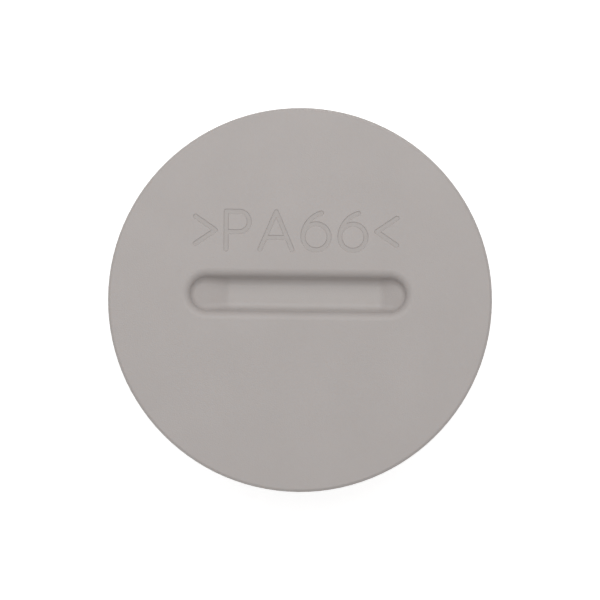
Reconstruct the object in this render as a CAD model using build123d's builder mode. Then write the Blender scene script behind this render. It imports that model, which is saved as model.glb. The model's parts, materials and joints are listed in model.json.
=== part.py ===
from build123d import *

import math
import os

# Threaded blanking plug, M20 x 1.5, with a coin slot, and its flat sealing washer.
#
# The plug closes an unused cable entry. Its shank screws into the wall's own thread, and the
# washer is squeezed between the head and the wall. +Z points out of the head. The origin is on
# the plug's axis, in the plane where the washer meets the wall.

# Metric fine thread, ISO 261: nominal diameter 20, pitch 1.5. An external thread of this form is
# 0.613 of its pitch deep, with a crest an eighth of its pitch wide.
pitch = 1.5
thread_radius = 9.975
thread_depth = 0.613 * pitch
thread_root_radius = thread_radius - thread_depth
crest_width = pitch / 8
crest_rounding = 0.06
thread_top = -0.3
thread_bottom = -7.3

# Sealing washer
washer_thickness = 2.0
washer_outer_radius = 12.2
washer_inner_radius = 10.1
washer_edge_radius = 0.2

# Head, which sits on the washer
head_radius = 12.5
head_thickness = 3.5
head_top_edge_radius = 0.2
head_under_edge_radius = 0.25
head_underside = washer_thickness
head_top = head_underside + head_thickness

# Shank, from the head down: collar, neck at the thread's root, thread, pilot
collar_radius = 9.9
collar_bottom = 0.6
pilot_radius = 8.85
shank_end = -9.0
pilot_chamfer = 0.4

# Bore, open at the shank's end and drafted for the mould's core pin
bore_mouth_radius = 7.7
bore_inner_radius = 7.5
bore_mouth_chamfer = 0.3
top_plate_thickness = 2.2
bore_ceiling = head_top - top_plate_thickness
bore_corner_radius = 0.3

# Coin slot, which sits slightly off the plug's axis
slot_centre = (-0.13, 0.36)
slot_length = 14.3
slot_width = 2.5
slot_depth = 1.25
slot_draft = 16
slot_floor_length = 10.0
slot_floor_offset = 0.43
slot_end_wall = 0.6
slot_crease_radius = 1.4
slot_floor_radius = 0.45
slot_lip_radius = 0.55

# Rib that carries the slot's floor across the bore
rib_width = 5.2
rib_floor_thickness = 1.6
rib_bottom = head_top - slot_depth - rib_floor_thickness
rib_edge_radius = 0.3
rib_half_length = 8.2

# Stub left by the moulding gate, in the middle of the rib
gate_radius = 0.7
gate_height = 0.2

# Round marks of the two ejector pins on the bore's ceiling
ejector_radius = 1.3
ejector_depth = 0.15
ejector_spacing = 10.4

# Sunk material mark beside the slot: ">PA66<", the standard sign for this nylon
mark_centre = (-0.3, 4.49)
mark_depth = 0.05
mark_wall_slope = 45
stroke_width = 0.34
letter_height = 2.46
letter_widths = {">": 1.3, "P": 1.5, "A": 2.1, "6": 1.7, "<": 1.3}
letter_gap = 0.7


# The thread is one ridge swept along a helix that runs past both ends of the threaded length,
# and an envelope with 45 degree ends trims it. The ridge's foot is sunk into the shank.
flank_angle = 30
root_overlap = 0.15
crest_clearance = 0.3
ridge_rise = thread_depth + root_overlap
flank_run = ridge_rise * math.tan(math.radians(flank_angle))
ridge_base = crest_width / 2 + flank_run
helix_start = thread_bottom - pitch
helix_height = thread_top - thread_bottom + 2 * pitch
envelope_inner_radius = thread_root_radius - 2 * root_overlap
end_run = thread_depth + crest_clearance

with BuildPart() as thread:
    with BuildLine() as helix:
        Helix(pitch, helix_height, thread_root_radius, center=(0, 0, helix_start))
    ridge_plane = Plane(origin=helix.line @ 0, x_dir=(1, 0, 0), z_dir=helix.line % 0)
    with BuildSketch(ridge_plane) as ridge:
        with BuildLine():
            Polyline(
                (-root_overlap, -ridge_base),
                (thread_depth, -crest_width / 2),
                (thread_depth, crest_width / 2),
                (-root_overlap, ridge_base),
                close=True,
            )
        make_face()
        crest_corners = ridge.vertices().group_by(Axis.X)[-1]
        fillet(crest_corners, crest_rounding)
    sweep(path=helix.line, is_frenet=True)
    with BuildSketch(Plane.XZ) as envelope:
        with BuildLine():
            Polyline(
                (envelope_inner_radius, thread_top),
                (thread_root_radius, thread_top),
                (thread_root_radius + end_run, thread_top - end_run),
                (thread_root_radius + end_run, thread_bottom + end_run),
                (thread_root_radius, thread_bottom),
                (envelope_inner_radius, thread_bottom),
                close=True,
            )
        make_face()
    revolve(axis=Axis.Z, mode=Mode.INTERSECT)


# The slot's cutter: a drafted stadium, trimmed to a flat floor with a ramp up to each end wall.
# The floor's middle sits a little to the +X side of the slot's, so the -X ramp is the longer one.
# The trimming outline runs a little past the stadium's top and ends.
floor_start = slot_floor_offset - slot_floor_length / 2
floor_end = slot_floor_offset + slot_floor_length / 2
ramp_rise = slot_depth - slot_end_wall
start_slope = ramp_rise / (slot_length / 2 + floor_start)
end_slope = ramp_rise / (slot_length / 2 - floor_end)
trim_margin = 1.0
trim_half_length = slot_length / 2 + trim_margin

with BuildPart() as slot_cutter:
    with BuildSketch(Plane.XY.offset(head_top)):
        with Locations(slot_centre):
            SlotOverall(slot_length, slot_width)
    extrude(amount=-slot_depth - trim_margin, taper=slot_draft)
    mouth_middle = (slot_centre[0], slot_centre[1], head_top)
    side_plane = Plane(origin=mouth_middle, x_dir=(1, 0, 0), z_dir=(0, -1, 0))
    with BuildSketch(side_plane) as side_outline:
        with BuildLine():
            Polyline(
                (-trim_half_length, trim_margin),
                (-trim_half_length, start_slope * trim_margin - slot_end_wall),
                (floor_start, -slot_depth),
                (floor_end, -slot_depth),
                (trim_half_length, end_slope * trim_margin - slot_end_wall),
                (trim_half_length, trim_margin),
                close=True,
            )
        make_face()
        creases = side_outline.vertices().group_by(Axis.Y)[0]
        fillet(creases, slot_crease_radius)
    extrude(amount=slot_width, both=True, mode=Mode.INTERSECT)
    floor_and_ramps = slot_cutter.faces().filter_by(lambda face: face.normal_at().Z < -0.6)
    fillet(floor_and_ramps.edges().filter_by(Axis.Y, reverse=True), slot_floor_radius)


# The mark's letters are strokes of one width with round ends, as an engraving cutter leaves them.
# The arrow's arm, the bars and the bowl are shares of the letter's height or width.
mark = ">PA66<"
arrow_arm = 0.36
bar_height = 0.32
bar_inset = 0.16
p_bowl = 0.27
six_back_angle = 75
mark_length = sum(letter_widths[letter] for letter in mark) + letter_gap * (len(mark) - 1)


def draw_strokes(*points):
    """Join the points with straight round-ended strokes."""
    for start, end in zip(points, points[1:]):
        middle = ((start[0] + end[0]) / 2, (start[1] + end[1]) / 2)
        SlotCenterPoint(middle, end, stroke_width)


def draw_arc_stroke(centre, radius, start_angle, arc_size):
    """Draw one stroke along an arc."""
    arc = CenterArc(centre, radius, start_angle, arc_size, mode=Mode.PRIVATE)
    SlotArc(arc, stroke_width)


def draw_letter(letter, left, foot):
    """Draw one letter with its lower left corner at (left, foot)."""
    right = left + letter_widths[letter]
    top = foot + letter_height
    middle = foot + letter_height / 2
    arm = arrow_arm * letter_height
    if letter == ">":
        draw_strokes((left, middle + arm), (right, middle), (left, middle - arm))
    if letter == "<":
        draw_strokes((right, middle + arm), (left, middle), (right, middle - arm))
    if letter == "A":
        bar = foot + bar_height * letter_height
        inset = bar_inset * letter_widths[letter]
        draw_strokes((left, foot), ((left + right) / 2, top), (right, foot))
        draw_strokes((left + inset, bar), (right - inset, bar))
    if letter == "P":
        bowl = p_bowl * letter_height
        draw_strokes((left, foot), (left, top), (right - bowl, top))
        draw_strokes((left, top - 2 * bowl), (right - bowl, top - 2 * bowl))
        draw_arc_stroke((right - bowl, top - bowl), bowl, -90, 180)
    if letter == "6":
        bowl = letter_widths[letter] / 2
        back = letter_height - bowl
        with Locations((left + bowl, foot + bowl)):
            Circle(bowl + stroke_width / 2)
            Circle(bowl - stroke_width / 2, mode=Mode.SUBTRACT)
        draw_arc_stroke((left + back, foot + bowl), back, 180, -six_back_angle)


# The plug is one moulding: half its outline, turned about the axis, then the rib, thread,
# slot and marks.
with BuildPart() as plug_body:
    with BuildSketch(Plane.XZ) as outline:
        with BuildLine():
            Polyline(
                (0, head_top),
                (head_radius, head_top),
                (head_radius, head_underside),
                (collar_radius, head_underside),
                (collar_radius, collar_bottom),
                (thread_root_radius, collar_bottom),
                (thread_root_radius, thread_bottom),
                (pilot_radius, thread_bottom),
                (pilot_radius, shank_end),
                (bore_mouth_radius, shank_end),
                (bore_inner_radius, bore_ceiling),
                (0, bore_ceiling),
                close=True,
            )
        make_face()
        head_corner = outline.vertices().group_by(Axis.Y)[-1].sort_by(Axis.X)[-1]
        fillet(head_corner, head_top_edge_radius)
        under_corner = outline.vertices().group_by(Axis.X)[-1].sort_by(Axis.Y)[0]
        fillet(under_corner, head_under_edge_radius)
        pilot_corner = outline.vertices().group_by(Axis.Y)[0].sort_by(Axis.X)[-1]
        chamfer(pilot_corner, pilot_chamfer)
        mouth_corner = outline.vertices().group_by(Axis.Y)[0].sort_by(Axis.X)[0]
        chamfer(mouth_corner, bore_mouth_chamfer)
        nearest_ceiling = outline.vertices().sort_by_distance((bore_inner_radius, bore_ceiling))
        fillet(nearest_ceiling[0], bore_corner_radius)
    revolve(axis=Axis.Z)

    add(thread.part)

    with BuildSketch(Plane.XY.offset(rib_bottom)):
        with Locations((0, slot_centre[1])):
            Rectangle(2 * rib_half_length, rib_width)
    extrude(amount=bore_ceiling - rib_bottom)
    rib_edges = plug_body.edges().filter_by(Axis.X)
    fillet(rib_edges.group_by(Axis.Z)[0], rib_edge_radius)

    with BuildSketch(Plane.XY.offset(rib_bottom)):
        with Locations((0, slot_centre[1])):
            Circle(gate_radius)
    extrude(amount=-gate_height)

    with BuildSketch(Plane.XY.offset(bore_ceiling)):
        with GridLocations(0, ejector_spacing, 1, 2):
            Circle(ejector_radius)
    extrude(amount=ejector_depth, mode=Mode.SUBTRACT)

    add(slot_cutter.part, mode=Mode.SUBTRACT)
    top_face = plug_body.faces().filter_by(Plane.XY).sort_by(Axis.Z)[-1]
    fillet(top_face.inner_wires()[0].edges(), slot_lip_radius)

    with BuildSketch(Plane.XY.offset(head_top)):
        left = mark_centre[0] - mark_length / 2
        for letter in mark:
            draw_letter(letter, left, mark_centre[1] - letter_height / 2)
            left += letter_widths[letter] + letter_gap
    extrude(amount=-mark_depth, taper=mark_wall_slope, mode=Mode.SUBTRACT)


# The washer is a flat ring, moulded with slightly rounded edges.
with BuildPart() as sealing_washer:
    with BuildSketch():
        Circle(washer_outer_radius)
        Circle(washer_inner_radius, mode=Mode.SUBTRACT)
    extrude(amount=washer_thickness)
    fillet(sealing_washer.edges().filter_by(GeomType.CIRCLE), washer_edge_radius)


os.makedirs("parts", exist_ok=True)

plug_body.part.label = "plug_body"
export_step(plug_body.part, "parts/plug_body.step")

sealing_washer.part.label = "sealing_washer"
export_step(sealing_washer.part, "parts/sealing_washer.step")
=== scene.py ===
"""A threaded blanking plug with a coin slot, and the rubber washer under its head."""

import json
import math

import bpy
import numpy as np
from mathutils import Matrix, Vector


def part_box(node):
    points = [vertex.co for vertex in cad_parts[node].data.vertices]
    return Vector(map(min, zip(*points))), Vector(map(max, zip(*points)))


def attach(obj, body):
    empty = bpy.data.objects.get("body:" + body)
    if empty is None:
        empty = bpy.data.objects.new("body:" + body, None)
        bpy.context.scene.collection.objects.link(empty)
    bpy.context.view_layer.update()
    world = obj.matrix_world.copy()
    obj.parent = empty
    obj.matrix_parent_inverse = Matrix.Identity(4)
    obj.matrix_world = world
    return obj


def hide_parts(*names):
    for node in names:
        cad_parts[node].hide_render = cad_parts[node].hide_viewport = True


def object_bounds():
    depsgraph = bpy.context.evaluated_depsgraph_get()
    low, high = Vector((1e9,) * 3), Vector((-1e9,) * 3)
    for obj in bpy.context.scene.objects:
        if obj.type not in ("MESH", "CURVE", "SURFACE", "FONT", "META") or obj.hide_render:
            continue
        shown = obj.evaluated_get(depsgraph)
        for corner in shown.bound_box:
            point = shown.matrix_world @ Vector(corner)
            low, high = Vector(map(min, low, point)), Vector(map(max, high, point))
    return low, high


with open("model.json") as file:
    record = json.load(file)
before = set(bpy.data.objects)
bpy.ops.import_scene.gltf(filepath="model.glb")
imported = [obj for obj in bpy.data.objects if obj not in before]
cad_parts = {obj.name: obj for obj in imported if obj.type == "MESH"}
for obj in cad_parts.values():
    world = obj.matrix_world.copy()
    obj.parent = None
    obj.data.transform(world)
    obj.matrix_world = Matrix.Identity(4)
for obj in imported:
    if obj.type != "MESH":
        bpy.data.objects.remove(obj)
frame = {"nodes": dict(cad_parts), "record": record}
cad_low, cad_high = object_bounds()
scene = bpy.context.scene
MM = 0.001


# Plug. One injection moulding in light-grey polyamide: head with a coin slot, hollow threaded
# shank and pilot. The mould was spark eroded, which leaves a fine even satin grain, and its two
# halves met along the shank, where they left a thin witness line across the threads.
NYLON_PALE = (0.457, 0.422, 0.407, 1)
NYLON_DEEP = (0.441, 0.407, 0.392, 1)
# Painted light: a paler colour laid on the slot's floor to lift the shade there.
NYLON_PAINTED_FLOOR_LIGHT = (0.478, 0.446, 0.430, 1)
# Painted shade: a darker colour along the head's rounded top edge.
NYLON_PAINTED_RIM_SHADE = (0.404, 0.374, 0.358, 1)
# Painted shade: a darker colour inside the sunk letters.
NYLON_PAINTED_LETTER_SHADE = (0.429, 0.396, 0.380, 1)
NYLON_IOR = 1.53
NYLON_SCATTER = 0.15
NYLON_SCATTER_TINT = (1.0, 0.75, 0.6)
NYLON_SCATTER_DEPTH = 0.3 * MM
NYLON_SMOOTHEST = 0.46
NYLON_ROUGHEST = 0.56
GRAIN_SIZE = 0.09 * MM
GRAIN_DEPTH = 0.012 * MM
GRAIN_DETAIL = 2
GRAIN_ROUGHNESS = 0.6
CLOUD_SIZE = 4.0 * MM
CLOUD_DETAIL = 4
CLOUD_DEEP_AT = 0.3
CLOUD_PALE_AT = 0.7
WITNESS_WIDTH = 0.05 * MM
WITNESS_HEIGHT = 0.03 * MM
WITNESS_FADE = 0.2 * MM
OUTSIDE_FROM = 8.2 * MM
# Width over which the painted shade on the rim and in the letters fades out.
PAINTED_SHADE_FADE = 0.25 * MM
# Where the painted light on the slot's floor lies: round a point just off its middle, between two
# depths.
FLOOR_LIGHT_MIDDLE = (0.3 * MM, 0.36 * MM)
FLOOR_LIGHT_REACH = 5.2 * MM
FLOOR_LIGHT_FROM = 0.4 * MM
FLOOR_LIGHT_TO = 1.5 * MM
FLOOR_LIGHT_FADE = 0.4 * MM
MARK_SIDE = 2.6 * MM
MARK_DEPTH = 0.05 * MM

plug_low, plug_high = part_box("plug_body")
head_radius = (plug_high.x - plug_low.x) / 2
mounts = {mount["name"]: mount for mount in frame["record"]["mounts"]}
seal_height = mounts["seal_face"]["pos_m"][2]


def cloudy_colour(nodes, links, place, size, pale, deep):
    """Soft clouds between two near shades: fractal noise of the given size, through a ramp."""
    cloud = nodes.new("ShaderNodeTexNoise")
    cloud.inputs["Scale"].default_value = 1 / size
    cloud.inputs["Detail"].default_value = CLOUD_DETAIL
    ramp = nodes.new("ShaderNodeValToRGB")
    ramp.color_ramp.elements[0].position = CLOUD_DEEP_AT
    ramp.color_ramp.elements[0].color = deep
    ramp.color_ramp.elements[1].position = CLOUD_PALE_AT
    ramp.color_ramp.elements[1].color = pale
    links.new(place, cloud.inputs["Vector"])
    links.new(cloud.outputs["Fac"], ramp.inputs["Fac"])
    return ramp.outputs["Color"]


def grain(nodes, links, place, size):
    """Even fine grain of the given size, as one value between 0 and 1."""
    noise = nodes.new("ShaderNodeTexNoise")
    noise.inputs["Scale"].default_value = 1 / size
    noise.inputs["Detail"].default_value = GRAIN_DETAIL
    noise.inputs["Roughness"].default_value = GRAIN_ROUGHNESS
    links.new(place, noise.inputs["Vector"])
    return noise.outputs["Fac"]


def fade(nodes, links, value, start, end):
    """0 at start, 1 at end, with a smooth step between them."""
    step = nodes.new("ShaderNodeMapRange")
    step.interpolation_type = "SMOOTHSTEP"
    step.inputs["From Min"].default_value = start
    step.inputs["From Max"].default_value = end
    links.new(value, step.inputs["Value"])
    return step.outputs["Result"]


def from_line(nodes, links, axes, x, y):
    """Distance from the upright line through (x, y)."""
    flat = nodes.new("ShaderNodeCombineXYZ")
    links.new(axes.outputs["X"], flat.inputs["X"])
    links.new(axes.outputs["Y"], flat.inputs["Y"])
    gap = nodes.new("ShaderNodeVectorMath")
    gap.operation = "DISTANCE"
    gap.inputs[1].default_value = (x, y, 0)
    links.new(flat.outputs["Vector"], gap.inputs[0])
    return gap.outputs["Value"]


def product(nodes, links, first, second):
    """One mask times another."""
    times = nodes.new("ShaderNodeMath")
    times.operation = "MULTIPLY"
    links.new(first, times.inputs[0])
    links.new(second, times.inputs[1])
    return times.outputs["Value"]


def painted(nodes, links, under, over, mask):
    """One fixed colour over another where the mask is 1."""
    coat = nodes.new("ShaderNodeMix")
    coat.data_type = "RGBA"
    links.new(under, coat.inputs["A"])
    coat.inputs["B"].default_value = over
    links.new(mask, coat.inputs["Factor"])
    return coat.outputs["Result"]


def spread(nodes, links, value, lowest, highest):
    """A value between 0 and 1, stretched to run from lowest to highest."""
    stretch = nodes.new("ShaderNodeMapRange")
    stretch.inputs["To Min"].default_value = lowest
    stretch.inputs["To Max"].default_value = highest
    links.new(value, stretch.inputs["Value"])
    return stretch.outputs["Result"]


def relief(nodes, links, height, depth, under=None):
    """Bump of the given depth, laid over the bump below it."""
    bump = nodes.new("ShaderNodeBump")
    bump.inputs["Distance"].default_value = depth
    links.new(height, bump.inputs["Height"])
    if under is not None:
        links.new(under, bump.inputs["Normal"])
    return bump.outputs["Normal"]


def make_nylon():
    """Satin grey nylon: grain, faint clouds, painted light and shade, the mould's witness line.

    Each mask is a product of smooth steps. The rim mask paints shade: it is 1 at the head's top
    edge and falls off over a quarter millimetre of radius and height. The floor mask paints
    light:
    it is 1 on the slot's floor, between two depths below the head's top and within 5.2 mm of the
    floor's middle, where it makes the nylon paler to lift the slot's shade. The letter mask
    paints
    shade: it is 1 in the sunk letters, from a quarter of their depth down, past the slot, inside
    the rim and above the bore. Witness falls off over WITNESS_WIDTH either side of the plane y =
    0, on the outside of the shank only.
    """
    nylon = bpy.data.materials.new("grey_nylon")
    nylon.use_nodes = True
    nodes, links = nylon.node_tree.nodes, nylon.node_tree.links
    shader = nodes["Principled BSDF"]
    shader.inputs["IOR"].default_value = NYLON_IOR
    shader.inputs["Subsurface Weight"].default_value = NYLON_SCATTER
    shader.inputs["Subsurface Radius"].default_value = NYLON_SCATTER_TINT
    shader.inputs["Subsurface Scale"].default_value = NYLON_SCATTER_DEPTH

    place = nodes.new("ShaderNodeTexCoord").outputs["Object"]
    axes = nodes.new("ShaderNodeSeparateXYZ")
    links.new(place, axes.inputs["Vector"])
    radius = from_line(nodes, links, axes, 0, 0)
    height = axes.outputs["Z"]

    # Painted shade along the head's rounded top edge.
    at_rim = fade(nodes, links, radius, head_radius - PAINTED_SHADE_FADE, head_radius)
    at_top = fade(nodes, links, height, plug_high.z - PAINTED_SHADE_FADE, plug_high.z)
    painted_rim_shade = product(nodes, links, at_rim, at_top)

    # Painted light on the slot's floor, lifting the shade of its walls and ends.
    from_middle = from_line(nodes, links, axes, *FLOOR_LIGHT_MIDDLE)
    on_floor = fade(nodes, links, from_middle, FLOOR_LIGHT_REACH, FLOOR_LIGHT_REACH - FLOOR_LIGHT_FADE)
    floor_light_top = plug_high.z - FLOOR_LIGHT_FROM
    floor_light_low = plug_high.z - FLOOR_LIGHT_TO
    sunk = fade(nodes, links, height, floor_light_top, floor_light_top - FLOOR_LIGHT_FADE)
    above_bore = fade(nodes, links, height, floor_light_low - FLOOR_LIGHT_FADE, floor_light_low)
    painted_floor_light = product(nodes, links, product(nodes, links, sunk, on_floor), above_bore)

    # Painted shade in the sunk letters, from a quarter of their depth down.
    letter_shade_top = plug_high.z - MARK_DEPTH / 4
    rim_start = head_radius - PAINTED_SHADE_FADE
    in_letters = fade(nodes, links, height, letter_shade_top, plug_high.z - MARK_DEPTH)
    past_slot = fade(nodes, links, axes.outputs["Y"], MARK_SIDE, MARK_SIDE + PAINTED_SHADE_FADE)
    off_rim = fade(nodes, links, radius, rim_start, rim_start - PAINTED_SHADE_FADE)
    on_head = fade(nodes, links, height, floor_light_low, floor_light_low + PAINTED_SHADE_FADE)
    in_mark = product(nodes, links, product(nodes, links, in_letters, past_slot), off_rim)
    painted_letter_shade = product(nodes, links, in_mark, on_head)

    beside = nodes.new("ShaderNodeMath")
    beside.operation = "ABSOLUTE"
    links.new(axes.outputs["Y"], beside.inputs[0])
    on_line = fade(nodes, links, beside.outputs["Value"], WITNESS_WIDTH, 0)
    on_shank = fade(nodes, links, height, seal_height, seal_height - WITNESS_FADE)
    outside = fade(nodes, links, radius, OUTSIDE_FROM, OUTSIDE_FROM + WITNESS_FADE)
    witness = product(nodes, links, product(nodes, links, on_line, on_shank), outside)

    colour = cloudy_colour(nodes, links, place, CLOUD_SIZE, NYLON_PALE, NYLON_DEEP)
    # Painted light on the slot's floor, then painted shade on the rim and in the letters.
    colour = painted(nodes, links, colour, NYLON_PAINTED_FLOOR_LIGHT, painted_floor_light)
    colour = painted(nodes, links, colour, NYLON_PAINTED_RIM_SHADE, painted_rim_shade)
    colour = painted(nodes, links, colour, NYLON_PAINTED_LETTER_SHADE, painted_letter_shade)
    links.new(colour, shader.inputs["Base Color"])

    fine = grain(nodes, links, place, GRAIN_SIZE)
    sheen = spread(nodes, links, fine, NYLON_SMOOTHEST, NYLON_ROUGHEST)
    links.new(sheen, shader.inputs["Roughness"])

    skin = relief(nodes, links, fine, GRAIN_DEPTH)
    seamed = relief(nodes, links, witness, WITNESS_HEIGHT, skin)
    links.new(seamed, shader.inputs["Normal"])
    return nylon


plug = frame["nodes"]["plug_body"]
plug.data.materials.clear()
plug.data.materials.append(make_nylon())


# Washer. A flat ring of black nitrile rubber, compression moulded, that lies loose on the collar
# under the head. Its outer wall is a little crowned, its corners are soft, and a thin bead of
# flash runs round the middle of the outer wall where the mould closed.
WASHER_INNER_RADIUS = 10.1 * MM
SQUARENESS = 9
FLASH_HEIGHT = 0.03 * MM
FLASH_WIDTH = 0.06 * MM
STEPS_ROUND = 240
STEPS_ACROSS = 120
SECTION_POINTS = 20001
RUBBER_GREY = (0.034, 0.034, 0.036, 1)
RUBBER_BLACK = (0.022, 0.022, 0.024, 1)
RUBBER_IOR = 1.52
RUBBER_SMOOTHEST = 0.60
RUBBER_ROUGHEST = 0.80
BLOOM_SIZE = 1.5 * MM
SKIN_SIZE = 0.12 * MM
SKIN_DEPTH = 0.01 * MM

washer_low, washer_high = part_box("sealing_washer")


def make_washer():
    """A rounded-square section carried round the axis.

    The section is the curve |x/a|^n + |z/b|^n = 1, with a and b half the ring's width and
    thickness, cut into equal steps of its own length. The outer wall is drawn in by the flash's
    height, and a bell curve of z about mid height gives it back there. Each section point is
    then turned through equal angles about the axis.
    """
    outer = washer_high.x
    half_width = (outer - FLASH_HEIGHT - WASHER_INNER_RADIUS) / 2
    middle = WASHER_INNER_RADIUS + half_width
    half_height = (washer_high.z - washer_low.z) / 2
    mid_height = (washer_high.z + washer_low.z) / 2

    turn = np.linspace(0, 2 * np.pi, SECTION_POINTS)
    power = 2 / SQUARENESS
    across = half_width * np.sign(np.cos(turn)) * np.abs(np.cos(turn)) ** power
    upward = half_height * np.sign(np.sin(turn)) * np.abs(np.sin(turn)) ** power
    length = np.concatenate([[0], np.cumsum(np.hypot(np.diff(across), np.diff(upward)))])
    even = np.linspace(0, length[-1], STEPS_ACROSS, endpoint=False)
    across = np.interp(even, length, across)
    upward = np.interp(even, length, upward)
    flash = FLASH_HEIGHT * np.exp(-((upward / FLASH_WIDTH) ** 2)) * (across > 0)

    angle = np.linspace(0, 2 * np.pi, STEPS_ROUND, endpoint=False)[:, None]
    radius = (middle + across + flash)[None, :]
    x = radius * np.cos(angle)
    y = radius * np.sin(angle)
    z = np.broadcast_to(mid_height + upward[None, :], x.shape)
    points = np.stack([x, y, z], axis=-1).reshape(-1, 3)

    number = np.arange(STEPS_ROUND * STEPS_ACROSS).reshape(STEPS_ROUND, STEPS_ACROSS)
    onward = np.roll(number, -1, axis=0)
    corners = [number, onward, np.roll(onward, -1, axis=1), np.roll(number, -1, axis=1)]
    faces = np.stack(corners, axis=-1).reshape(-1, 4)

    mesh = bpy.data.meshes.new("washer_ring")
    mesh.from_pydata(points.tolist(), [], faces.tolist())
    mesh.shade_smooth()
    ring = bpy.data.objects.new("washer_ring", mesh)
    scene.collection.objects.link(ring)
    return ring


def make_rubber():
    """Matt black rubber with a fine skin and a faint grey bloom in soft patches."""
    rubber = bpy.data.materials.new("black_rubber")
    rubber.use_nodes = True
    nodes, links = rubber.node_tree.nodes, rubber.node_tree.links
    shader = nodes["Principled BSDF"]
    shader.inputs["IOR"].default_value = RUBBER_IOR

    place = nodes.new("ShaderNodeTexCoord").outputs["Object"]
    bloom = cloudy_colour(nodes, links, place, BLOOM_SIZE, RUBBER_GREY, RUBBER_BLACK)
    links.new(bloom, shader.inputs["Base Color"])

    skin = grain(nodes, links, place, SKIN_SIZE)
    sheen = spread(nodes, links, skin, RUBBER_SMOOTHEST, RUBBER_ROUGHEST)
    links.new(sheen, shader.inputs["Roughness"])
    links.new(relief(nodes, links, skin, SKIN_DEPTH), shader.inputs["Normal"])
    return rubber


washer = make_washer()
washer.data.materials.append(make_rubber())
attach(washer, "washer")
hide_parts("sealing_washer")


# Light table. A white sheet that glows a little, just under the plug's lowest point. It isn't
# part of the object.
TABLE_SIZE = 0.6
TABLE_DROP = 0.2 * MM
TABLE_GLOW = 0.57
TABLE_WHITE = (0.92, 0.92, 0.92, 1)
TABLE_ROUGHNESS = 0.8


def make_light_table():
    """A square white sheet with a weak even glow."""
    half = TABLE_SIZE / 2
    height = cad_low.z - TABLE_DROP
    corners = [
        (-half, -half, height),
        (half, -half, height),
        (half, half, height),
        (-half, half, height),
    ]
    mesh = bpy.data.meshes.new("light_table")
    mesh.from_pydata(corners, [], [(0, 1, 2, 3)])
    sheet = bpy.data.objects.new("light_table", mesh)
    scene.collection.objects.link(sheet)
    white = bpy.data.materials.new("white_acrylic")
    white.use_nodes = True
    shader = white.node_tree.nodes["Principled BSDF"]
    shader.inputs["Base Color"].default_value = TABLE_WHITE
    shader.inputs["Roughness"].default_value = TABLE_ROUGHNESS
    shader.inputs["Emission Color"].default_value = (1, 1, 1, 1)
    shader.inputs["Emission Strength"].default_value = TABLE_GLOW
    mesh.materials.append(white)


make_light_table()


# Light. One broad round lamp leans over from the mark's side, and an even white surround fills
# in from everywhere else. Lengths are in metres and angles in degrees.
LAMP_DISTANCE = 0.14
LAMP_SIDE = -0.005
LAMP_LEAN = 23
LAMP_HALF_ANGLE = 30
LAMP_SHARE = 0.62
SURROUND = 0.47


def make_lamp():
    """A round soft lamp, as wide as LAMP_HALF_ANGLE each way seen from the head's middle.

    Its power is LAMP_SHARE times pi squared times its distance squared.
    """
    light = bpy.data.lights.new("soft_lamp", "AREA")
    light.shape = "DISK"
    light.size = 2 * LAMP_DISTANCE * math.tan(math.radians(LAMP_HALF_ANGLE))
    light.energy = LAMP_SHARE * math.pi**2 * LAMP_DISTANCE**2
    lamp = bpy.data.objects.new("soft_lamp", light)
    lean = math.radians(LAMP_LEAN)
    lamp.location = (
        LAMP_SIDE,
        LAMP_DISTANCE * math.sin(lean),
        cad_high.z + LAMP_DISTANCE * math.cos(lean),
    )
    towards = Vector((0, 0, cad_high.z)) - lamp.location
    lamp.rotation_euler = towards.to_track_quat("-Z", "Y").to_euler()
    lamp.visible_camera = False
    scene.collection.objects.link(lamp)


def make_surround():
    """Even white light from all sides."""
    world = bpy.data.worlds.new("surround")
    scene.world = world
    world.use_nodes = True
    sky = world.node_tree.nodes["Background"]
    sky.inputs["Color"].default_value = (1, 1, 1, 1)
    sky.inputs["Strength"].default_value = SURROUND


make_lamp()
make_surround()


# Camera. Square on to the head, from straight above it, and rolled by a fraction of a degree.
# Its view is VIEW_WIDTH wide at the head's top.
SENSOR_WIDTH = 36.0
CAMERA_DISTANCE = 0.25
VIEW_WIDTH = 39.01 * MM
CAMERA_ROLL = 0.6
NEAREST_SEEN = 0.01

lens = bpy.data.cameras.new("camera")
lens.sensor_width = SENSOR_WIDTH
lens.lens = SENSOR_WIDTH * CAMERA_DISTANCE / VIEW_WIDTH
lens.clip_start = NEAREST_SEEN
camera = bpy.data.objects.new("camera", lens)
camera.location = (0, 0, cad_high.z + CAMERA_DISTANCE)
camera.rotation_euler = (0, 0, math.radians(CAMERA_ROLL))
scene.collection.objects.link(camera)
scene.camera = camera
scene.view_settings.view_transform = "Standard"
